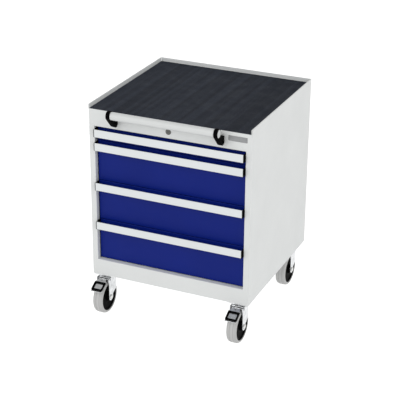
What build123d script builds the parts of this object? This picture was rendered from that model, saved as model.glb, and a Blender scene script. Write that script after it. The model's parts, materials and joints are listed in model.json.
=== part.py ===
"""Mobile drawer cabinet: a sheet-steel body with a rubber-lined tray top, four drawers on
telescopic runners, a push handle, a central lock and four swivel casters, two with brakes.

Units are millimetres. Every piece is drawn in the cabinet's own frame: X = 0 in the middle of
the width, Y = 0 on the front face, with +Y towards the back, and Z = 0 on the body's bottom edge.
place() then moves it, so that the origin lies on the floor in the middle of the overall footprint.
"""
from build123d import *
import math
import os

# ---- driving dimensions -------------------------------------------------------------------
body_width = 605.0
body_depth = 575.0
body_height = 650.0          # bottom edge to the top of the rim
caster_height = 150.0        # floor to the body's bottom edge
sheet = 1.2                  # body sheet
bend = 2.0                   # outer bend radius of the body sheet
tray_level = 633.0           # top of the tray sheet
hem_width = 4.0              # the rim is folded back on itself to this width
mat_thickness = 3.0
stile_width = 21.5
stile_return = 18.0
flange_width = 20.0          # rear flanges that carry the back panel
plinth_height = 60.0
rail_bottom = 571.0
channel_depth = 97.0         # caster channels under the bottom panel, front to back
channel_sheet = 2.0
corner_gap = 0.4             # keeps flat sheets clear of the side panels' inner bends

drawer_pitches = (50.0, 150.0, 150.0, 154.0)
first_drawer_top = 564.0
drawer_gap = 2.0
front_half = 279.0           # half the width of a drawer front
front_y = 18.0               # drawer fronts stand this far behind the cabinet's face
front_depth = 16.0
front_bend = 1.6
box_half = 271.0
box_back = 530.0
box_sheet = 1.0
box_hem = 7.0
box_side_drop = 11.0         # the box's sides end this far below the top of its front

grip_height = 29.0
grip_y = -12.5               # front face of the grip strips
grip_wall = 2.2
grip_flange = 12.0
grip_cap = 2.5

slide_height = 32.0
slide_web = 282.3            # outer face of the fixed members; the middle ones pass between the stiles
slide_wall = 1.5
slide_inner_wall = 1.3       # sheet of the middle and inner members
slide_play = 0.5
slide_y = (36.0, 528.0)
slide_bracket_length = 45.0

handle_x = (190.0, 204.5)    # inner and outer face of each handle bracket
handle_y = -46.3
handle_z = 637.4
handle_radius = 14.0
handle_wall = 1.5
bracket_ring = 16.5
handle_screw_z = (598.5, 610.0)

lock_z = 595.0
lock_radius = 10.0
plug_radius = 6.0
rod_radius = 5.0
crank_radius = 8.0
crank_pin = 2.5
lock_turn = 90.0
bar_y = (562.0, 565.0)
bar_width = 30.0
lock_fit = 0.05              # radial running clearance

wheel_radius = 62.5
wheel_half = 19.0
core_radius = 52.0
caster_x = 261.0
front_axle_y = 7.8
rear_axle_y = 488.0
trail = 37.2                 # from the axle to the swivel axis
fork_half = 25.5
fork_sheet = 3.0
axle_radius = 5.0
running_fit = 0.05
pedal_reach = 64.0           # from the cabinet's face to the tip of the brake pedals
pedal_pivot = (5.0, -19.0)   # Y and Z of the front pedals' pivot
pedal_half = 21.0
pedal_neck = 13.0            # half width of the pedals at their pivot

# ---- values that follow from them ----------------------------------------------------------
half_width = body_width / 2
inner_half = half_width - sheet
back_y = body_depth - sheet
face_y = (pedal_reach - body_depth) / 2
axle_z = wheel_radius - caster_height
bar_drop = 2 * crank_radius * math.sin(math.radians(lock_turn / 2))
casters = {
    "front_left": (-caster_x, front_axle_y),
    "front_right": (caster_x, front_axle_y),
    "rear_left": (-caster_x, rear_axle_y),
    "rear_right": (caster_x, rear_axle_y),
}


def drawer_levels():
    """Lower and upper edge of each drawer front, from the top drawer down."""
    levels = []
    top = first_drawer_top
    for pitch in drawer_pitches:
        levels.append((top - pitch + drawer_gap, top))
        top -= pitch
    return levels


# ---- drawing helpers -----------------------------------------------------------------------
def block(x, y, z):
    """A box between the given (low, high) limits."""
    size = (x[1] - x[0], y[1] - y[0], z[1] - z[0])
    return Pos(x[0], y[0], z[0]) * Box(*size, align=(Align.MIN, Align.MIN, Align.MIN))


def along_x(sketch, x):
    """Extrude a sketch of (Y, Z) points between two X limits."""
    return Pos(x[0], 0, 0) * extrude(Plane.YZ * sketch, x[1] - x[0])


def along_z(sketch, z):
    """Extrude a sketch of (X, Y) points between two Z limits."""
    return Pos(0, 0, z[0]) * extrude(sketch, z[1] - z[0])


def outline(points):
    """A filled face with straight sides through the points."""
    return make_face(Polyline(*points, close=True))


def folded(points, thickness, radius):
    """A strip of bent sheet whose middle line runs through the points."""
    return trace(FilletPolyline(*points, radius=radius - thickness / 2), line_width=thickness)


def rod_x(y, z, radius, x):
    return Pos(x[0], y, z) * Rot(0, 90, 0) * Cylinder(
        radius, x[1] - x[0], align=(Align.CENTER, Align.CENTER, Align.MIN))


def rod_y(x, z, radius, y):
    return Pos(x, y[0], z) * Rot(-90, 0, 0) * Cylinder(
        radius, y[1] - y[0], align=(Align.CENTER, Align.CENTER, Align.MIN))


def rod_z(x, y, radius, z):
    return Pos(x, y, z[0]) * Cylinder(
        radius, z[1] - z[0], align=(Align.CENTER, Align.CENTER, Align.MIN))


def hexagon(x, y, across, z):
    """A hexagon head or nut that lies across Z."""
    head = RegularPolygon(across / 2, 6, major_radius=False)
    return Pos(x, y, 0) * along_z(head, z)


def both_sides(shape):
    """The shape and its mirror image on the other side of the cabinet."""
    return [shape, mirror(shape, Plane.YZ)]


def place(shape):
    return Pos(0, face_y, caster_height) * shape


def save(name, *shapes):
    """Write one sub-part, as one solid or as a group of separate solids."""
    solids = [solid for shape in shapes for solid in place(shape).solids()]
    part = solids[0] if len(solids) == 1 else Compound(children=solids)
    part.label = name
    export_step(part, f"parts/{name}.step")


# ---- cabinet body --------------------------------------------------------------------------
def side_panel():
    """Right-hand side: a wall with a hollow front stile, a rear flange and a hemmed rim.

    Beside the plinth and the top rail the stile's edge is square, for a flush welded joint.
    """
    middle = sheet / 2
    stile_x = half_width - stile_width + middle
    wall_x = half_width - middle
    flange_y = back_y - middle
    path = [(stile_x, stile_return), (stile_x, middle), (wall_x, middle),
            (wall_x, flange_y), (wall_x - flange_width, flange_y)]
    panel = along_z(folded(path, sheet, bend), (0, tray_level))
    notch_z = tray_level - sheet - 0.2
    notch_x = (stile_x - sheet, inner_half)
    panel -= block(notch_x, (sheet, stile_return + 1), (notch_z, body_height))
    panel -= block(notch_x, (back_y - 2 * sheet, back_y + 1), (notch_z, body_height))
    panel -= block(notch_x, (sheet, stile_return + 1), (-1, plinth_height - 0.5))
    panel -= block(notch_x, (back_y - 2 * sheet, back_y + 1), (-1, plinth_height - 0.5))
    stile_edge = (half_width - stile_width, half_width - stile_width + bend)
    for joint_z in ((0, plinth_height - bend), (rail_bottom + bend, tray_level)):
        panel += block(stile_edge, (0, sheet), joint_z)
    hem_x = half_width - hem_width + middle
    rim = Pos(0, back_y, 0) * extrude(
        Plane.XZ * folded([(hem_x, tray_level + 0.2), (hem_x, body_height - middle),
                           (wall_x, body_height - middle), (wall_x, tray_level - 2)],
                          sheet, 1.4), back_y)
    rim -= block((hem_x - sheet, hem_x + middle + 0.4), (back_y - 4, body_depth),
                 (tray_level - 1, body_height - sheet))
    return panel + rim


def back_panel():
    """Rear wall with a hemmed rim, two guides for the locking bar and the lock rod's bearing."""
    middle = sheet / 2
    wall = block((-half_width + 2.5, half_width - 2.5), (back_y, body_depth), (2, tray_level))
    wall_y = back_y + middle
    hem_y = body_depth - hem_width + middle
    hem_half = half_width - hem_width - 0.3
    rim = along_x(folded([(hem_y, tray_level + 0.2), (hem_y, body_height - middle),
                          (wall_y, body_height - middle), (wall_y, tray_level - 3)],
                         sheet, 1.4), (-hem_half, hem_half))
    panel = wall + rim
    guide_gap = 0.4
    guide_half = bar_width / 2 + guide_gap
    for guide_z in (110.0, 480.0):
        loop = block((-guide_half - 2, guide_half + 2), (bar_y[0] - 2.4, back_y), (guide_z, guide_z + 16))
        loop -= block((-guide_half, guide_half), (bar_y[0] - guide_gap, bar_y[1] + guide_gap),
                      (guide_z - 1, guide_z + 17))
        panel += loop
    bearing = block((-12, 12), (546, 549), (lock_z - 12, lock_z + 20))
    bearing += block((-12, 12), (546, back_y), (lock_z + 17, lock_z + 20))
    bearing -= rod_y(0, lock_z, rod_radius + lock_fit, (540, 552))
    return panel + bearing


def top_rail():
    """Upper front rail, with holes for the lock and for the push handle's screws."""
    middle = sheet / 2
    rail_half = half_width - stile_width
    rail = along_x(folded([(stile_return, rail_bottom + middle), (middle, rail_bottom + middle),
                           (middle, tray_level)], sheet, bend), (-rail_half, rail_half))
    rail += block((-rail_half, rail_half), (sheet, 15), (tray_level - 2 * sheet - 0.2,
                                                         tray_level - sheet - 0.2))
    rail -= rod_y(0, lock_z, lock_radius - 1, (-1, sheet + 1))
    for x, z in handle_screw_places():
        rail -= rod_y(x, z, 3.2, (-1, sheet + 1))
    return rail


def plinth():
    """Lower front rail, with a ledge below the bottom drawer."""
    middle = sheet / 2
    rail_half = half_width - stile_width
    path = [(middle, 0), (middle, plinth_height - middle), (stile_return, plinth_height - middle)]
    return along_x(folded(path, sheet, bend), (-rail_half, rail_half))


def caster_channel(y):
    """Upturned channel across the cabinet, with holes for the casters' bolts."""
    middle = channel_sheet / 2
    low = (y[0] + middle, y[1] - middle)
    path = [(low[0], plinth_height - 3), (low[0], middle), (low[1], middle), (low[1], plinth_height - 3)]
    channel = along_x(folded(path, channel_sheet, 4), (-inner_half + corner_gap, inner_half - corner_gap))
    for x, bolt_y in bolt_places():
        if y[0] < bolt_y < y[1]:
            channel -= rod_z(x, bolt_y, 4.25, (-1, 4))
    return channel


def make_body():
    right, left = both_sides(side_panel())
    save("side_panel_right", right)
    save("side_panel_left", left)
    save("back_panel", back_panel())
    save("front_top_rail", top_rail())
    save("plinth", plinth())
    flat_x = (-inner_half + corner_gap, inner_half - corner_gap)
    flat_y = (sheet + corner_gap, back_y - sheet - corner_gap)
    save("tray_top", block(flat_x, flat_y, (tray_level - sheet, tray_level)))
    mat_half = half_width - hem_width - 0.5
    save("rubber_mat", block((-mat_half, mat_half), (1.0, body_depth - hem_width - 0.5),
                             (tray_level, tray_level + mat_thickness)))
    bottom_z = plinth_height - sheet - 0.2
    save("bottom_panel", block(flat_x, (flat_y[0] + 1, flat_y[1]), (bottom_z - sheet, bottom_z)))
    save("caster_channels", caster_channel((flat_y[0], flat_y[0] + channel_depth)),
         caster_channel((flat_y[1] - channel_depth, flat_y[1])))


# ---- push handle ---------------------------------------------------------------------------
def handle_screw_places():
    middle = sum(handle_x) / 2
    return [(side * middle, z) for side in (-1, 1) for z in handle_screw_z]


def handle_bracket():
    """Right-hand bracket: a foot on the rail that sweeps forward and up into a ring."""
    web = outline([(0, 615), (0, 593), (-5, 586.5), (-14, 584.5), (-27, 592.5),
                   (-58.2, 626), (handle_y, handle_z), (-31.5, 628)])
    web = fillet(web.vertices().filter_by(lambda corner: corner.Y < 594), 3)
    body = along_x(web + Pos(handle_y, handle_z) * Circle(bracket_ring), handle_x)
    body = fillet(body.edges().filter_by(Plane.YZ).group_by(Axis.X)[-1], 1.5)
    body -= rod_x(handle_y, handle_z, handle_radius, (handle_x[0] - 1, handle_x[1] + 1))
    for dimple_x in (handle_x[0], handle_x[1]):
        body -= rod_x(-17, 603, 4.5, (dimple_x - 1, dimple_x + 1))
    for z in handle_screw_z:
        body -= rod_y(sum(handle_x) / 2, z, 3.0, (-12, 1))
    return body


def make_handle():
    tube = rod_x(handle_y, handle_z, handle_radius, (-handle_x[1], handle_x[1]))
    hollow = handle_x[1] - handle_wall
    tube -= rod_x(handle_y, handle_z, handle_radius - handle_wall, (-hollow, hollow))
    save("push_handle_tube", fillet(tube.edges().filter_by(GeomType.CIRCLE).filter_by(
        lambda edge: edge.radius > handle_radius - 0.1), 1.0))
    save("handle_brackets", *both_sides(handle_bracket()))
    screws = []
    for x, z in handle_screw_places():
        head = rod_y(x, z, 5.5, (sheet, sheet + 4)) - rod_y(x, z, 2.2, (sheet + 1.6, sheet + 5))
        screws.append(head + rod_y(x, z, 3.0, (-12, sheet)))
    save("handle_screws", *screws)


# ---- central lock --------------------------------------------------------------------------
def hook_levels():
    """Top of the flat part of each drawer's locking hook."""
    return [top - box_side_drop - 16 for _, top in drawer_levels()]


def locking_bar():
    """Flat bar with a slot for the crank pin; each drawer gets a tooth that drops behind its hook."""
    bar = block((-bar_width / 2, bar_width / 2), bar_y, (plinth_height + 14, lock_z + 12))
    pin_z = lock_z + bar_drop / 2
    slot_half = crank_pin + 0.4
    bar -= block((0.5, 12.0), (bar_y[0] - 1, bar_y[1] + 1), (pin_z - slot_half, pin_z + slot_half))
    teeth = []
    for hook_z in hook_levels():
        tip = hook_z + 12.3
        teeth.append(along_x(folded([(541, tip), (541, tip + 14), (bar_y[0], tip + 14)], 2.0, 3.0), (-7, 7)))
    return [bar] + teeth


def make_lock():
    housing = rod_y(0, lock_z, lock_radius, (-2, 0)) + rod_y(0, lock_z, lock_radius - 1, (0, 26))
    housing = fillet(housing.edges().group_by(Axis.Y)[0], 1.2)
    housing += rod_y(0, lock_z, lock_radius + 3, (sheet, sheet + 4))
    housing -= rod_y(0, lock_z, plug_radius + lock_fit, (-3, 27))
    save("lock_housing", housing)
    plug = rod_y(0, lock_z, plug_radius, (-2.6, 30))
    plug = fillet(plug.edges().group_by(Axis.Y)[0], 0.5)
    plug -= block((-1.1, 1.1), (-4, 8), (lock_z - 4, lock_z + 4))
    save("lock_cylinder", plug)
    pin = (crank_radius * math.cos(math.radians(lock_turn / 2)), lock_z + bar_drop / 2)
    crank = make_hull([Edge.make_circle(rod_radius + 1, Plane((0, lock_z, 0))),
                       Edge.make_circle(crank_pin + 1.5, Plane((pin[0], pin[1], 0)))])
    arm = Pos(0, 556, 0) * extrude(Plane.XZ * crank, 4)
    save("lock_rod", rod_y(0, lock_z, rod_radius, (30, 553)) + arm + rod_y(*pin, crank_pin, (555, 566.5)))
    save("locking_bar", *locking_bar())


# ---- drawers -------------------------------------------------------------------------------
def slide_level(low):
    """Middle of a drawer's runners, from the lower edge of its front."""
    return low + 21.0


def c_profile(web_x, tip_x, z, half, wall):
    """C-shaped section, as (X, Z) points: a web at web_x with flanges that reach tip_x."""
    inside = web_x + math.copysign(wall, tip_x - web_x)
    return outline([(tip_x, z + half), (web_x, z + half), (web_x, z - half), (tip_x, z - half),
                    (tip_x, z - half + wall), (inside, z - half + wall),
                    (inside, z + half - wall), (tip_x, z + half - wall)])


def along_y(sketch, y):
    """Extrude a sketch of (X, Z) points between two Y limits."""
    return Pos(0, y[1], 0) * extrude(Plane.XZ * sketch, y[1] - y[0])


def cabinet_runner(z):
    """Fixed runner member, with two spacer brackets against the side wall."""
    web_x = slide_web
    half = slide_height / 2
    runner = along_y(c_profile(web_x, 274.5, z, half, slide_wall), slide_y)
    for start in (slide_y[0] + 20, slide_y[1] - 20 - slide_bracket_length):
        span = (start, start + slide_bracket_length)
        spacer = block((web_x, inner_half - 0.1), span, (z - 10, z + 10))
        hollow = block((web_x + slide_wall, inner_half - 0.1 - slide_wall),
                       (span[0] - 1, span[1] + 1), (z - 10 + slide_wall, z + 10 - slide_wall))
        runner += spacer - hollow
    return runner


def middle_runner(z):
    """Intermediate member, which moves half as far as the drawer."""
    web_x = slide_web - slide_wall - slide_play
    half = slide_height / 2 - slide_wall - slide_play
    return along_y(c_profile(web_x, 273.0, z, half, slide_inner_wall), (slide_y[0] + 4, slide_y[1] - 12))


def drawer_runner(z):
    """Inner member, fixed to the drawer's side."""
    half = slide_height / 2 - slide_wall - slide_inner_wall - 2 * slide_play
    tip_x = slide_web - slide_wall - slide_inner_wall - 2 * slide_play - 0.3
    return along_y(c_profile(box_half, tip_x, z, half, slide_inner_wall), (slide_y[0], slide_y[1] - 8))


def drawer_box(low, top):
    """Open box with hemmed side walls."""
    z = (low + 3, top - box_side_drop)
    y = (front_y + front_depth, box_back)
    shell = block((-box_half, box_half), y, z)
    inner = box_half - box_sheet
    shell -= block((-inner, inner), (y[0] + box_sheet, y[1] - box_sheet), (z[0] + box_sheet, z[1] + 1))
    hem = block((-box_half, box_half), y, (z[1] - box_sheet, z[1]))
    hem -= block((-box_half + box_hem, box_half - box_hem), (y[0] + box_hem, y[1] - box_hem),
                 (z[1] - 2 * box_sheet, z[1] + 1))
    return shell + hem


def drawer_hook(z):
    """Hook on the back of a drawer, which the locking bar's tooth holds."""
    return along_x(folded([(box_back, z - 1), (551, z - 1), (551, z + 11)], 2.0, 3.0), (-6, 6))


def drawer_front(low, top):
    """Shallow pan, open at the back."""
    y = (front_y, front_y + front_depth)
    pan = block((-front_half, front_half), y, (low, top))
    pan = fillet(pan.edges().group_by(Axis.Y)[0], front_bend)
    pan -= block((-front_half + sheet, front_half - sheet), (y[0] + sheet, y[1] + 1),
                 (low + sheet, top - sheet))
    return pan


def grip_profile(top):
    """Section of the grip strip: a lip in front, a web below and a flange on the drawer front."""
    middle = grip_wall / 2
    low = top - grip_height + middle
    path = [(grip_y + middle, top - middle), (grip_y + middle, low), (front_y - middle, low),
            (front_y - middle, low + grip_flange)]
    bead = Pos(grip_y + middle + 0.5, top - middle - 0.5) * Circle(middle + 0.5)
    return folded(path, grip_wall, 3.2) + bead


def grip_cap_profile(top):
    """Outline of the end caps, which close the ends of the finger recess."""
    corners = outline([(grip_y, top), (grip_y, top - grip_height),
                       (front_y, top - grip_height), (front_y, top)])
    return fillet(corners.vertices().sort_by(Axis.X)[:2], 2.0)


def make_drawers():
    fixed = []
    for number, (low, top) in enumerate(drawer_levels(), start=1):
        name = f"drawer_{number}"
        slide_z = slide_level(low)
        fixed += both_sides(cabinet_runner(slide_z))
        save(f"runner_middle_{number}", *both_sides(middle_runner(slide_z)))
        save(f"{name}_box", drawer_box(low, top), drawer_hook(hook_levels()[number - 1]),
             *both_sides(drawer_runner(slide_z)))
        save(f"{name}_front", drawer_front(low, top))
        grip_top = top - 1
        grip_half = front_half - grip_cap
        save(f"{name}_grip", along_x(grip_profile(grip_top), (-grip_half, grip_half)))
        save(f"{name}_grip_caps", *both_sides(along_x(grip_cap_profile(grip_top), (grip_half, front_half))))
    save("cabinet_runners", *fixed)


# ---- casters -------------------------------------------------------------------------------
plate_size = (80.0, 90.0)
plate_thickness = 3.5
bolt_spacing = (60.0, 60.0)
race_bottom = -10.0
crown_top = -10.4
crown_bottom = crown_top - fork_sheet


def bolt_places():
    """Centres of the casters' bolts."""
    return [(x + i * bolt_spacing[0] / 2, y + trail + j * bolt_spacing[1] / 2)
            for x, y in casters.values() for i in (-1, 1) for j in (-1, 1)]


def caster_plate(x, y):
    """Top plate with the fixed bearing race and the kingpin."""
    swivel = y + trail
    half = (plate_size[0] / 2, plate_size[1] / 2)
    plate = along_z(Pos(x, swivel) * RectangleRounded(*plate_size, 8), (-plate_thickness, 0))
    for i in (-1, 1):
        for j in (-1, 1):
            plate -= rod_z(x + i * bolt_spacing[0] / 2, swivel + j * bolt_spacing[1] / 2,
                           4.25, (-half[0], half[0]))
    race = rod_z(x, swivel, 25, (race_bottom, -plate_thickness))
    race = fillet(race.edges().group_by(Axis.Z)[0], 2.5)
    pin = rod_z(x, swivel, plug_radius, (crown_bottom - 1, race_bottom))
    head = rod_z(x, swivel, 9, (crown_bottom - 3.6, crown_bottom - 0.4))
    return plate + race + pin + fillet(head.edges().group_by(Axis.Z)[0], 1.5)


def caster_bolt(x, y):
    bolt = hexagon(x, y, 13, (-plate_thickness - 5.3, -plate_thickness))
    bolt += rod_z(x, y, 4, (-plate_thickness, 12))
    return bolt + hexagon(x, y, 13, (channel_sheet, channel_sheet + 6.5))


def fork(x, y, braked):
    """Pressed fork: a crown around the kingpin, an arched rear wall and two legs that taper to the axle."""
    swivel = y + trail
    middle = fork_sheet / 2
    leg_x = fork_half - middle
    rear = swivel + 11.0
    half_plan = [(leg_x, y - 20), (leg_x, y + 26), (leg_x - 2.2, swivel + 3), (leg_x - 2.2, rear)]
    plan = half_plan + [(-px, py) for px, py in reversed(half_plan)]
    shell = along_z(Pos(x, 0) * folded(plan, fork_sheet, 8.0), (axle_z - 20, crown_top - 1))
    tip = 14.0
    tip_turn = math.radians(25)
    leg = outline([(y - tip, axle_z), (y - tip, crown_top), (rear + 6, crown_top), (rear + 6, axle_z + 16),
                   (y + 26, axle_z + 14), (y + tip * math.cos(tip_turn), axle_z + tip * math.sin(tip_turn)),
                   (y, axle_z)])
    leg += Pos(y, axle_z) * Circle(tip)
    shell = shell & along_x(leg, (x - 40, x + 40))
    arch_half = wheel_half + 1.6
    shell -= rod_x(y, axle_z, wheel_radius + 4, (x - arch_half, x + arch_half))
    crown_y = (y - 4, rear + middle)
    crown_shape = Pos(x, sum(crown_y) / 2) * RectangleRounded(2 * fork_half, crown_y[1] - crown_y[0], 6)
    crown = along_z(crown_shape + Pos(x, swivel) * Circle(29), (crown_bottom, crown_top))
    crown = fillet(crown.edges().group_by(Axis.Z)[-1], 1.8)
    body = shell + crown
    body -= rod_z(x, swivel, plug_radius + running_fit, (crown_bottom - 1, 0))
    body -= rod_x(y, axle_z, axle_radius, (x - 40, x + 40))
    if braked:
        body -= rod_x(*pedal_pivot, 2.5 + running_fit, (x - 40, x + 40))
    return body


def axle(x, y):
    """Bolt through the fork's tips, with a domed head outside and a nut inside."""
    head = rod_x(y, axle_z, 8.5, (x + fork_half, x + fork_half + 4))
    head = fillet(head.edges().group_by(Axis.X)[-1], 3.0)
    shank = rod_x(y, axle_z, axle_radius, (x - fork_half - 7, x + fork_half))
    nut_face = Plane.YZ * (Pos(y, axle_z) * RegularPolygon(8, 6, major_radius=False))
    nut = Pos(x - fork_half - 6, 0, 0) * extrude(nut_face, 6)
    return head + shank + nut


def turned(x, y, points):
    """Revolve (radius, offset) points about an axle through the fork's tips."""
    section = Plane.XY * outline([(x + offset, radius) for radius, offset in points])
    return Pos(0, y, axle_z) * revolve(section, Axis.X, 360)


def wheel_core(x, y):
    """Moulded wheel centre: a hub, a thin disc and a rim that carries the tyre."""
    bore = axle_radius + running_fit
    half = [(bore, 21.5), (14, 21.5), (16, 19), (17.5, 14.0), (44, 14.0), (46.5, 17.0), (core_radius, 17.0)]
    return turned(x, y, half + [(radius, -offset) for radius, offset in reversed(half)])


def tyre(x, y):
    """Solid rubber tyre with sloping shoulders and a rounded edge."""
    half = [(core_radius, 18.0), (core_radius + 1.2, wheel_half), (56.0, wheel_half), (59.0, 17.6),
            (61.2, 14.8), (62.2, 11.6), (wheel_radius, 7.5)]
    return turned(x, y, half + [(radius, -offset) for radius, offset in reversed(half)])


def brake_pedal(x):
    """Pressed lever: a sloping plate with a curled tip, two cheeks, a brake shoe and a pivot pin."""
    pivot_y, pivot_z = pedal_pivot
    plate_wall = 2.0
    tip_y = -pedal_reach + plate_wall / 2
    path = [(-6.5, -13.4), (-57.0, -39.6), (tip_y, -38.2)]
    lever = along_x(folded(path, plate_wall, 5.0), (x - pedal_half, x + pedal_half))
    lever += rod_x(tip_y, -38.2, plate_wall / 2, (x - pedal_half, x + pedal_half))
    for side in (-1, 1):
        neck = outline([(x + side * pedal_neck, 0), (x + side * (pedal_neck + 1), -9),
                        (x + side * (pedal_half + 1), -22), (x + side * (pedal_half + 1), 0)])
        lever -= along_z(neck, (-60, 0))
    cheek = outline([(-24, -22.5), (-6, -13.2), (pivot_y + 3, -15.6),
                     (pivot_y + 4, -22.5), (-6, -25), (-24, -27)])
    for side in (-1, 1):
        faces = sorted((x + side * pedal_neck, x + side * (pedal_neck - 1.5)))
        lever += along_x(cheek, faces)
    lever += along_x(outline([(-20, -20.5), (-8, -14.4), (-8, -25.2), (-20, -26.6)]), (x - 10, x + 10))
    lever -= rod_z(x, -14, 2.5, (-20, -10))
    lever -= rod_x(pivot_y, pivot_z, 2.5, (x - 40, x + 40))
    pin = rod_x(pivot_y, pivot_z, 2.5, (x - fork_half - 1, x + fork_half + 1))
    for side in (-1, 1):
        ends = sorted((x + side * (fork_half + 0.3), x + side * (fork_half + 2.3)))
        pin += rod_x(pivot_y, pivot_z, 4, ends)
    return [lever, pin]


def brake_tread(x):
    """Plastic tread on the pedal: a raised frame around a window that shows the plate."""
    slope = math.atan2(27.0, 52.0)
    start = (-22.0, -12.6 - 17.0 * math.tan(slope) + 1.0 / math.cos(slope))
    length = 37.0
    half = pedal_half + 1.0
    pad = Box(2 * half, length, 3.6, align=(Align.CENTER, Align.MAX, Align.MIN))
    pad = fillet(pad.edges().filter_by(Axis.Z), 2.0)
    pad = fillet(pad.edges().group_by(Axis.Z)[-1], 0.8)
    window = Pos(0, -7.5, -1) * Box(31, 24, 6, align=(Align.CENTER, Align.MAX, Align.MIN))
    pad -= fillet(window.edges().filter_by(Axis.Z), 2.0)
    return Pos(x, *start) * Rot(math.degrees(slope), 0, 0) * pad


def make_casters():
    save("caster_plates", *[caster_plate(x, y) for x, y in casters.values()])
    save("caster_bolts", *[caster_bolt(x, y) for x, y in bolt_places()])
    for name, (x, y) in casters.items():
        braked = name.startswith("front")
        save(f"fork_{name}", fork(x, y, braked))
        save(f"axle_{name}", axle(x, y))
        save(f"wheel_{name}", wheel_core(x, y))
        save(f"tyre_{name}", tyre(x, y))
        if braked:
            save(f"brake_pedal_{name}", *brake_pedal(x))
            save(f"brake_tread_{name}", brake_tread(x))


def make_nameplate():
    """Blank plate, held by two rivets."""
    x = (218.5, 286.0)
    z = (601.5, 620.0)
    plate = block(x, (-0.8, 0), z)
    plate = fillet(plate.edges().filter_by(Axis.Y), 2.0)
    middle = sum(z) / 2
    for rivet_x in (x[0] + 4.5, x[1] - 4.5):
        dome = rod_y(rivet_x, middle, 1.8, (-1.6, -0.8))
        plate += fillet(dome.edges().group_by(Axis.Y)[0], 0.6)
    save("nameplate", plate)


os.makedirs("parts", exist_ok=True)
make_body()
make_handle()
make_lock()
make_drawers()
make_casters()
make_nameplate()
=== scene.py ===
"""Mobile drawer cabinet: materials, ribbed tray mat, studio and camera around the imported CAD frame."""
import json
import math

import bpy
from mathutils import Euler, Matrix, Vector


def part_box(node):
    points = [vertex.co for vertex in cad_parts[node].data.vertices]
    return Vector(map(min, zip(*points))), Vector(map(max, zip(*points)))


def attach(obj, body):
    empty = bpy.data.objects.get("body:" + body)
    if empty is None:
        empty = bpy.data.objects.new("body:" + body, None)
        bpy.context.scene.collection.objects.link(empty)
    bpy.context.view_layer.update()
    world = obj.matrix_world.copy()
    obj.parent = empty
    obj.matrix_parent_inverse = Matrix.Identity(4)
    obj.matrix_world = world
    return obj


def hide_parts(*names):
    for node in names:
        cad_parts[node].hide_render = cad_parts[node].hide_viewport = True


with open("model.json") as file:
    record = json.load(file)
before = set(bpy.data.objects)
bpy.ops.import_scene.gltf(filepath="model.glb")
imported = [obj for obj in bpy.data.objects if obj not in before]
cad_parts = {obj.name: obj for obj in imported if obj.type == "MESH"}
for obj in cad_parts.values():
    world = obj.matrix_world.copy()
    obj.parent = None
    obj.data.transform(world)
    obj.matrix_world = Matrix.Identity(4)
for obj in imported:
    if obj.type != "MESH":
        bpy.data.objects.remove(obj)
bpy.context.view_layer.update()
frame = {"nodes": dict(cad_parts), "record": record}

MM = 0.001
CASTERS = ("front_left", "front_right", "rear_left", "rear_right")


# ---- colours, as linear red, green and blue ------------------------------------------------
LIGHT_GREY = (0.70, 0.715, 0.71)
ULTRAMARINE = (0.0008, 0.0108, 0.170)
STRIP_WHITE = (0.725, 0.752, 0.760)
SOOT = (0.0020, 0.0020, 0.0022)
MAT_BLACK = (0.029, 0.034, 0.047)
TYRE_GREY = (0.47, 0.47, 0.465)
RUNNER_ZINC = (0.60, 0.62, 0.64)
CASTER_ZINC = (0.66, 0.67, 0.68)
STEEL = (0.64, 0.64, 0.63)
DARK_NICKEL = (0.12, 0.12, 0.115)
DULL_ALUMINIUM = (0.25, 0.255, 0.26)


# ---- node helpers --------------------------------------------------------------------------
def start_material(name, **sockets):
    """A material with one Principled shader, and the given sockets set on it."""
    made = bpy.data.materials.new(name)
    made.use_nodes = True
    tree = made.node_tree
    shader = tree.nodes["Principled BSDF"]
    for key, value in sockets.items():
        shader.inputs[key.replace("_", " ")].default_value = value
    return made, tree, shader


def object_coords(tree, scale=(1.0, 1.0, 1.0), origin=(0.0, 0.0, 0.0)):
    """The surface's own coordinates in metres, measured from `origin` and then scaled."""
    coords = tree.nodes.new("ShaderNodeTexCoord")
    moved = tree.nodes.new("ShaderNodeVectorMath")
    moved.operation = "SUBTRACT"
    moved.inputs[1].default_value = origin
    tree.links.new(coords.outputs["Object"], moved.inputs[0])
    scaled = tree.nodes.new("ShaderNodeVectorMath")
    scaled.operation = "MULTIPLY"
    scaled.inputs[1].default_value = scale
    tree.links.new(moved.outputs[0], scaled.inputs[0])
    return scaled.outputs[0]


def grain(tree, size, stretch=(1.0, 1.0, 1.0), detail=2.0):
    """Noise with features about `size` metres across, longer along the stretched axes."""
    noise = tree.nodes.new("ShaderNodeTexNoise")
    noise.inputs["Scale"].default_value = 1.0
    noise.inputs["Detail"].default_value = detail
    scale = [1.0 / (size * factor) for factor in stretch]
    tree.links.new(object_coords(tree, scale), noise.inputs["Vector"])
    return noise.outputs["Fac"]


def spangle(tree, size):
    """Flat cells about `size` metres across, each with its own value."""
    cells = tree.nodes.new("ShaderNodeTexVoronoi")
    cells.inputs["Scale"].default_value = 1.0
    tree.links.new(object_coords(tree, [1.0 / size] * 3), cells.inputs["Vector"])
    value = tree.nodes.new("ShaderNodeSeparateColor")
    tree.links.new(cells.outputs["Color"], value.inputs[0])
    return value.outputs[0]


def remap(tree, source, low, high, span=(0.3, 0.7)):
    """The source value, spread from `low` to `high`."""
    node = tree.nodes.new("ShaderNodeMapRange")
    node.inputs["From Min"].default_value = span[0]
    node.inputs["From Max"].default_value = span[1]
    node.inputs["To Min"].default_value = low
    node.inputs["To Max"].default_value = high
    tree.links.new(source, node.inputs["Value"])
    return node.outputs["Result"]


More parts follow.
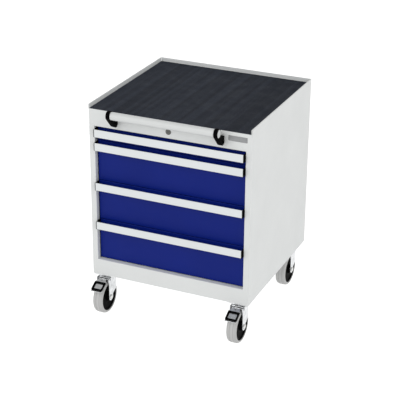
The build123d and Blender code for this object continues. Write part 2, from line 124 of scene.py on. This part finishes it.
def shade(tree, source, dark, light, span=(0.3, 0.7)):
    """A colour between `dark` and `light` that follows the source value."""
    node = tree.nodes.new("ShaderNodeMix")
    node.data_type = "RGBA"
    colours = [s for s in node.inputs if s.type == "RGBA"]
    colours[0].default_value = (*dark, 1.0)
    colours[1].default_value = (*light, 1.0)
    tree.links.new(remap(tree, source, 0.0, 1.0, span), node.inputs["Factor"])
    return [s for s in node.outputs if s.type == "RGBA"][0]


def tint(colour, factor):
    """The colour, made darker or lighter."""
    return tuple(channel * factor for channel in colour)


def emboss(tree, shader, height, depth):
    """Bump whose full height is `depth` metres, on top of any bump that is already there."""
    node = tree.nodes.new("ShaderNodeBump")
    node.inputs["Strength"].default_value = 1.0
    node.inputs["Distance"].default_value = depth
    tree.links.new(height, node.inputs["Height"])
    before = shader.inputs["Normal"].links
    if before:
        tree.links.new(before[0].from_socket, node.inputs["Normal"])
    tree.links.new(node.outputs["Normal"], shader.inputs["Normal"])


# ---- materials -----------------------------------------------------------------------------
def powder_coat(name, colour, roughness, peel=0.9 * MM, spread=0.02, gloss=0.3):
    """Powder-coated steel: orange peel, fine pigment grain and slow drifts in tone and gloss."""
    peel_depth = 0.025 * MM
    made, tree, shader = start_material(name, Specular_IOR_Level=gloss)
    drift = grain(tree, 160 * MM, detail=3.0)
    tree.links.new(shade(tree, drift, tint(colour, 1 - spread), tint(colour, 1 + spread)),
                   shader.inputs["Base Color"])
    tree.links.new(remap(tree, grain(tree, 35 * MM, detail=4.0), roughness - 0.05, roughness + 0.06),
                   shader.inputs["Roughness"])
    emboss(tree, shader, grain(tree, peel), peel_depth)
    emboss(tree, shader, grain(tree, 0.25 * MM, detail=1.0), peel_depth / 3)
    return made


def moulded_plastic(name, colour, roughness, grain_size=0.5 * MM):
    """Injection-moulded plastic: spark-eroded grain, faint flow marks and rubbed patches."""
    made, tree, shader = start_material(name, IOR=1.08, Specular_IOR_Level=0.2)
    tree.links.new(shade(tree, grain(tree, 18 * MM, detail=4.0), tint(colour, 0.8), tint(colour, 1.35)),
                   shader.inputs["Base Color"])
    tree.links.new(remap(tree, grain(tree, 9 * MM, detail=5.0), roughness - 0.08, roughness + 0.1),
                   shader.inputs["Roughness"])
    emboss(tree, shader, grain(tree, grain_size, detail=1.0), 0.03 * MM)
    return made


def zinc_plate(name, colour, roughness, draw=(1.0, 1.0, 1.0)):
    """Zinc-plated steel: cloudy passivation, small crystals, and drawing lines along one axis."""
    made, tree, shader = start_material(name, Metallic=1.0)
    tree.links.new(shade(tree, grain(tree, 14 * MM, detail=5.0), tint(colour, 0.82), tint(colour, 1.1)),
                   shader.inputs["Base Color"])
    tree.links.new(remap(tree, spangle(tree, 1.6 * MM), roughness - 0.06, roughness + 0.1, (0.0, 1.0)),
                   shader.inputs["Roughness"])
    emboss(tree, shader, grain(tree, 0.7 * MM, draw), 0.02 * MM)
    return made


def brushed_metal(name, colour, roughness, lines=(40.0, 1.0, 1.0), anisotropic=0.5):
    """Turned or brushed metal with fine lines along the stretched axis."""
    made, tree, shader = start_material(name, Metallic=1.0, Anisotropic=anisotropic)
    strokes = grain(tree, 0.35 * MM, lines, detail=3.0)
    tree.links.new(shade(tree, strokes, tint(colour, 0.86), tint(colour, 1.08)),
                   shader.inputs["Base Color"])
    tree.links.new(remap(tree, strokes, roughness + 0.08, roughness - 0.05), shader.inputs["Roughness"])
    emboss(tree, shader, strokes, 0.012 * MM)
    return made


def mat_rubber(name):
    """Dark rubber mat: matt, with long faint streaks along the ribs and a little bloom."""
    made, tree, shader = start_material(name, Specular_IOR_Level=0.15)
    streaks = grain(tree, 22 * MM, (1.0, 90.0, 1.0), detail=2.0)
    tree.links.new(shade(tree, streaks, tint(MAT_BLACK, 0.84), tint(MAT_BLACK, 1.28), (0.36, 0.64)),
                   shader.inputs["Base Color"])
    tree.links.new(remap(tree, grain(tree, 40 * MM, detail=5.0), 0.62, 0.82), shader.inputs["Roughness"])
    emboss(tree, shader, grain(tree, 0.4 * MM, detail=2.0), 0.03 * MM)
    return made


def tyre_rubber(name, axle):
    """Grey tyre rubber with fine moulding rings about the axle and slightly dusty flanks."""
    ring_width = 2.2 * MM
    made, tree, shader = start_material(name, Specular_IOR_Level=0.35)
    place = tree.nodes.new("ShaderNodeSeparateXYZ")
    tree.links.new(object_coords(tree, origin=axle), place.inputs[0])
    flat = tree.nodes.new("ShaderNodeCombineXYZ")
    tree.links.new(place.outputs["Y"], flat.inputs["Y"])
    tree.links.new(place.outputs["Z"], flat.inputs["Z"])
    radius = tree.nodes.new("ShaderNodeVectorMath")
    radius.operation = "LENGTH"
    tree.links.new(flat.outputs[0], radius.inputs[0])
    rings = tree.nodes.new("ShaderNodeCombineXYZ")
    for source, axis in ((place.outputs["X"], "X"), (radius.outputs["Value"], "Y")):
        step = tree.nodes.new("ShaderNodeMath")
        step.operation = "MULTIPLY"
        step.inputs[1].default_value = 1.0 / ring_width
        tree.links.new(source, step.inputs[0])
        tree.links.new(step.outputs[0], rings.inputs[axis])
    lines = tree.nodes.new("ShaderNodeTexNoise")
    lines.inputs["Scale"].default_value = 1.0
    lines.inputs["Detail"].default_value = 1.0
    tree.links.new(rings.outputs[0], lines.inputs["Vector"])
    tree.links.new(shade(tree, lines.outputs["Fac"], tint(TYRE_GREY, 0.80), tint(TYRE_GREY, 1.22)),
                   shader.inputs["Base Color"])
    tree.links.new(remap(tree, grain(tree, 12 * MM, detail=5.0), 0.5, 0.68), shader.inputs["Roughness"])
    emboss(tree, shader, lines.outputs["Fac"], 0.12 * MM)
    emboss(tree, shader, grain(tree, 0.5 * MM), 0.02 * MM)
    return made


body_paint = powder_coat("light_grey_powder_coat", LIGHT_GREY, 0.46)
# Painted shade: the tube has the body's light grey paint, darkened here by 0.93 to stand in for the
# shade that falls on the tube.
handle_paint = powder_coat("shaded_light_grey_handle_paint", tint(LIGHT_GREY, 0.93), 0.34, peel=1.4 * MM)
front_paint = powder_coat("ultramarine_powder_coat", ULTRAMARINE, 0.42, spread=0.05, gloss=0.13)
grip_paint = powder_coat("white_strip_paint", STRIP_WHITE, 0.36, peel=1.2 * MM, spread=0.015)
box_paint = powder_coat("drawer_box_paint", tint(LIGHT_GREY, 0.9), 0.5)
runner_zinc = zinc_plate("runner_zinc", RUNNER_ZINC, 0.32, (1.0, 30.0, 1.0))
caster_zinc = zinc_plate("caster_zinc", CASTER_ZINC, 0.2)
black_plastic = moulded_plastic("black_moulded_plastic", SOOT, 0.42)
wheel_plastic = moulded_plastic("wheel_polypropylene", tint(SOOT, 1.2), 0.38, 0.8 * MM)
bright_steel = brushed_metal("bright_steel", STEEL, 0.24)
lock_metal = brushed_metal("satin_nickel", DARK_NICKEL, 0.34, (1.0, 1.0, 1.0), 0.0)
plate_metal = brushed_metal("brushed_aluminium", DULL_ALUMINIUM, 0.34)
mat_material = mat_rubber("ribbed_mat_rubber")


def paint(material, node):
    """Give a CAD node one material in all its slots."""
    obj = frame["nodes"][node]
    if not obj.material_slots:
        obj.data.materials.append(material)
    for place in obj.material_slots:
        place.material = material


by_slot = {
    "body_paint": body_paint,
    "handle_paint": handle_paint,
    "drawer_front_paint": front_paint,
    "grip_paint": grip_paint,
    "drawer_box_paint": box_paint,
    "runner_zinc": runner_zinc,
    "caster_zinc": caster_zinc,
    "black_plastic": black_plastic,
    "wheel_plastic": wheel_plastic,
    "bright_steel": bright_steel,
    "lock_metal": lock_metal,
    "nameplate_metal": plate_metal,
    "mat_rubber": mat_material,
}


def axle_centre(caster):
    """A point on the wheel's axle, halfway along it."""
    low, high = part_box(f"wheel_{caster}")
    return (low + high) / 2


for entry in frame["record"]["subparts"]:
    if entry["material_slot"] in by_slot:
        paint(by_slot[entry["material_slot"]], entry["node"])
for caster in CASTERS:
    paint(tyre_rubber(f"tyre_rubber_{caster}", axle_centre(caster)), f"tyre_{caster}")


# ---- ribbed mat ----------------------------------------------------------------------------
def mesh_object(name, vertices, faces, material):
    """A new object with one material, linked to the scene."""
    data = bpy.data.meshes.new(name)
    data.from_pydata(vertices, [], faces)
    data.materials.append(material)
    data.update()
    obj = bpy.data.objects.new(name, data)
    bpy.context.scene.collection.objects.link(obj)
    return obj


RIB_PITCH = 3.0 * MM
GROOVE_DEPTH = 1.1 * MM
# One rib's outline: how far along the pitch, and how far down in groove depths.
RIB_OUTLINE = ((0.0, 1.0), (0.14, 1.0), (0.24, 0.25), (0.36, 0.0), (0.78, 0.0), (0.90, 0.25))


def ribbed_mat():
    """The tray's rubber mat: a slab with rounded ribs that run from front to back."""
    low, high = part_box("rubber_mat")
    count = round((high.x - low.x) / RIB_PITCH)
    step = (high.x - low.x) / count
    section = [(low.x, low.z)]
    for rib in range(count):
        start = low.x + rib * step
        for along, down in RIB_OUTLINE:
            section.append((start + along * step, high.z - down * GROOVE_DEPTH))
    section += [(high.x, high.z - GROOVE_DEPTH), (high.x, low.z)]
    points = len(section)
    vertices = [(x, y, z) for y in (low.y, high.y) for x, z in section]
    faces = [tuple(range(points)), tuple(range(2 * points - 1, points - 1, -1))]
    for i in range(points):
        j = (i + 1) % points
        faces.append((j, i, i + points, j + points))
    return mesh_object("ribbed_tray_mat", vertices, faces, mat_material)


mat = ribbed_mat()
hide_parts("rubber_mat")
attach(mat, "cabinet")


# ---- studio --------------------------------------------------------------------------------
FLOOR_REACH = 30.0
FLOOR_DROP = 0.2 * MM        # below the wheels, so that the two never share a plane
LIGHT_TARGET = Vector((0.0, 0.0, 0.42))
# Each softbox: its place and its side in metres, and its power in watts.
SOFTBOXES = {
    "key_softbox": ((-1.0, -3.4, 2.9), 2.2, 42.0),
    "fill_softbox": ((3.5, -0.8, 1.9), 2.4, 22.0),
}
# Brightness of the room: 0 is straight down, 0.5 the horizon, 1 straight up.
ROOM_LEVELS = ((0.0, 0.60), (0.40, 0.72), (0.46, 0.86), (0.53, 0.86), (0.72, 0.60), (1.0, 0.40))
ROOM_STRENGTH = 1.22


def softbox(name, place, side, power):
    """A square area light that faces the cabinet's middle and stays out of the picture."""
    data = bpy.data.lights.new(name, "AREA")
    data.shape = "SQUARE"
    data.size = side
    data.energy = power
    light = bpy.data.objects.new(name, data)
    light.location = place
    light.rotation_euler = (LIGHT_TARGET - Vector(place)).to_track_quat("-Z", "Y").to_euler()
    light.visible_camera = False
    bpy.context.scene.collection.objects.link(light)


def floor():
    """A white floor that glows a little, so that it is as bright as the room around it."""
    made, tree, shader = start_material("studio_floor", Roughness=0.9, Specular_IOR_Level=0.1,
                                        Emission_Color=(1.0, 1.0, 1.0, 1.0), Emission_Strength=0.8)
    tree.links.new(shade(tree, grain(tree, 400 * MM), (0.60, 0.60, 0.60), (0.62, 0.62, 0.62)),
                   shader.inputs["Base Color"])
    corners = [(x * FLOOR_REACH, y * FLOOR_REACH, 0.0) for x, y in ((-1, -1), (1, -1), (1, 1), (-1, 1))]
    plane = mesh_object("studio_floor", corners, [(0, 1, 2, 3)], made)
    plane.location.z = -FLOOR_DROP
    plane.visible_diffuse = False


def studio_world():
    """White room: bright walls, a dimmer ceiling, and the soft light that a white floor sends up."""
    world = bpy.data.worlds.new("studio")
    world.use_nodes = True
    tree = world.node_tree
    direction = tree.nodes.new("ShaderNodeTexCoord")
    height = tree.nodes.new("ShaderNodeSeparateXYZ")
    tree.links.new(direction.outputs["Generated"], height.inputs[0])
    ramp = tree.nodes.new("ShaderNodeValToRGB")
    while len(ramp.color_ramp.elements) < len(ROOM_LEVELS):
        ramp.color_ramp.elements.new(0.5)
    for element, (position, level) in zip(ramp.color_ramp.elements, ROOM_LEVELS):
        element.position = position
        element.color = (level, level, level, 1.0)
    tree.links.new(remap(tree, height.outputs["Z"], 0.0, 1.0, (-1.0, 1.0)), ramp.inputs["Fac"])
    tree.links.new(ramp.outputs["Color"], tree.nodes["Background"].inputs["Color"])
    tree.nodes["Background"].inputs["Strength"].default_value = ROOM_STRENGTH
    bpy.context.scene.world = world


floor()
for softbox_name, settings in SOFTBOXES.items():
    softbox(softbox_name, *settings)
studio_world()
bpy.context.scene.view_settings.view_transform = "Standard"


# ---- camera --------------------------------------------------------------------------------
CAMERA_AZIMUTH = 23.81       # degrees to the right of straight ahead
CAMERA_ELEVATION = 24.15     # degrees above level
CAMERA_ROLL = 0.45
CAMERA_TARGET = Vector((0.0052, 0.0, 0.3924))
CAMERA_DISTANCE = 4.6234
CAMERA_LENS = 114.7          # millimetres
SENSOR_WIDTH = 36.0
CAMERA_RANGE = 200.0


def camera():
    """Camera at the object's three-quarter view, aimed at a point near its middle."""
    data = bpy.data.cameras.new("camera")
    data.sensor_width = SENSOR_WIDTH
    data.lens = CAMERA_LENS
    data.clip_end = CAMERA_RANGE
    obj = bpy.data.objects.new("camera", data)
    azimuth = math.radians(CAMERA_AZIMUTH)
    elevation = math.radians(CAMERA_ELEVATION)
    outward = Vector((math.sin(azimuth) * math.cos(elevation), -math.cos(azimuth) * math.cos(elevation),
                      math.sin(elevation)))
    turn = Euler((math.pi / 2 - elevation, 0.0, azimuth)).to_matrix().to_4x4()
    roll = Matrix.Rotation(math.radians(CAMERA_ROLL), 4, "Z")
    obj.matrix_world = Matrix.Translation(CAMERA_TARGET + CAMERA_DISTANCE * outward) @ turn @ roll
    bpy.context.scene.collection.objects.link(obj)
    bpy.context.scene.camera = obj


camera()
